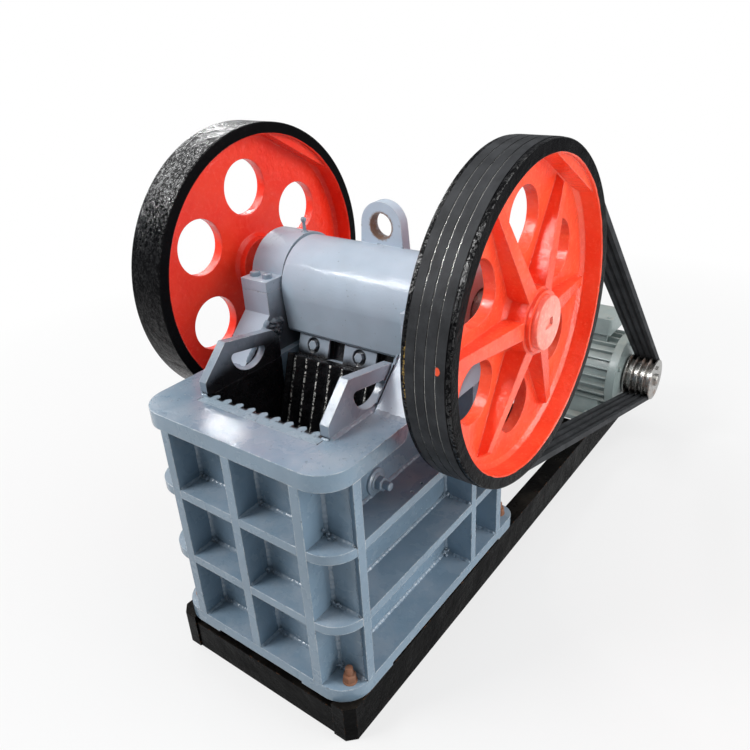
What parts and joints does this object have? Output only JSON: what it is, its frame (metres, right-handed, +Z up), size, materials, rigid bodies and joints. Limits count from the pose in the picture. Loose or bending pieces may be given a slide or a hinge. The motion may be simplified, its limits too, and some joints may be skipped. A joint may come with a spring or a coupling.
{
  "type": "jaw crusher",
  "caption": "Small jaw crusher on a channel skid with two spoked flywheels, a swing jaw and a foot motor driving it through V-belts.",
  "frame": {"origin": "middle of the machine's footprint, on the floor under the skid", "axes": "+X along the crusher shaft towards the belt wheel, +Y from the feed mouth towards the motor, +Z up"},
  "size_m": [0.814, 1.53, 1.0969],
  "materials": {
    "frame_blue": "gloss enamel, chipped and dusty",
    "wheel_red": "red-orange enamel, rim black",
    "manganese_steel": "black skin, worn bright on the ridges",
    "skid_black": "black paint, rusty at the edges",
    "motor_grey": "satin enamel",
    "bare_steel": "turned, oily",
    "pulley_iron": "bare iron with light rust",
    "belt_rubber": "matt, dusty"
  },
  "bodies": {
    "frame": {"base_flange": "frame_blue", "bearing_cap_left": "frame_blue", "bearing_cap_right": "frame_blue", "bearing_left": "bare_steel", "bearing_right": "bare_steel", "cheek_plate_left": "frame_blue", "cheek_plate_right": "frame_blue", "drive_belt_1": "belt_rubber", "drive_belt_2": "belt_rubber", "drive_belt_3": "belt_rubber", "drive_belt_4": "belt_rubber", "fixed_jaw_plate": "manganese_steel", "front_wall": "frame_blue", "lower_rib_ring": "frame_blue", "motor_fan_cover": "motor_grey", "motor_housing": "motor_grey", "motor_slide_rails": "skid_black", "pedestal_left": "frame_blue", "pedestal_right": "frame_blue", "rear_wall": "frame_blue", "side_liner_left": "manganese_steel", "side_liner_right": "manganese_steel", "side_wall_left": "frame_blue", "side_wall_right": "frame_blue", "skid_cross_body": "skid_black", "skid_cross_front": "skid_black", "skid_cross_motor": "skid_black", "skid_cross_rear": "skid_black", "skid_rail_left": "skid_black", "skid_rail_right": "skid_black", "tension_rod": "bare_steel", "tension_spring": "frame_blue", "terminal_box": "motor_grey", "toggle_block": "frame_blue", "toggle_plate": "manganese_steel", "top_flange": "frame_blue", "upper_rib_ring": "frame_blue"},
    "rotor": {"eccentric_shaft": "bare_steel", "flywheel_left": "wheel_red", "flywheel_right": "wheel_red", "shaft_end_plate_left": "bare_steel", "shaft_end_plate_right": "bare_steel"},
    "jaw": {"swing_jaw": "frame_blue", "jaw_seal_left": "frame_blue", "jaw_seal_right": "frame_blue", "jaw_clamp": "frame_blue", "moving_jaw_plate": "manganese_steel"},
    "motor_rotor": {"motor_shaft": "bare_steel", "motor_pulley": "pulley_iron"}
  },
  "joints": [
    {"name": "rotor_spin", "type": "hinge", "parent": "frame", "child": "rotor", "pos_m": [0, -0.295, 0.771], "axis": [1, 0, 0], "continuous": true},
    {"name": "jaw_swing", "type": "hinge", "parent": "frame", "child": "jaw", "pos_m": [0, -0.295, 0.771], "axis": [-1, 0, 0], "range_deg": [0, 1.2]},
    {"name": "motor_spin", "type": "hinge", "parent": "frame", "child": "motor_rotor", "pos_m": [0, 0.606, 0.242], "axis": [1, 0, 0], "continuous": true}
  ],
  "couplings": [
    {"joint": "motor_spin", "follows": "rotor_spin", "ratio": 5.2}
  ]
}
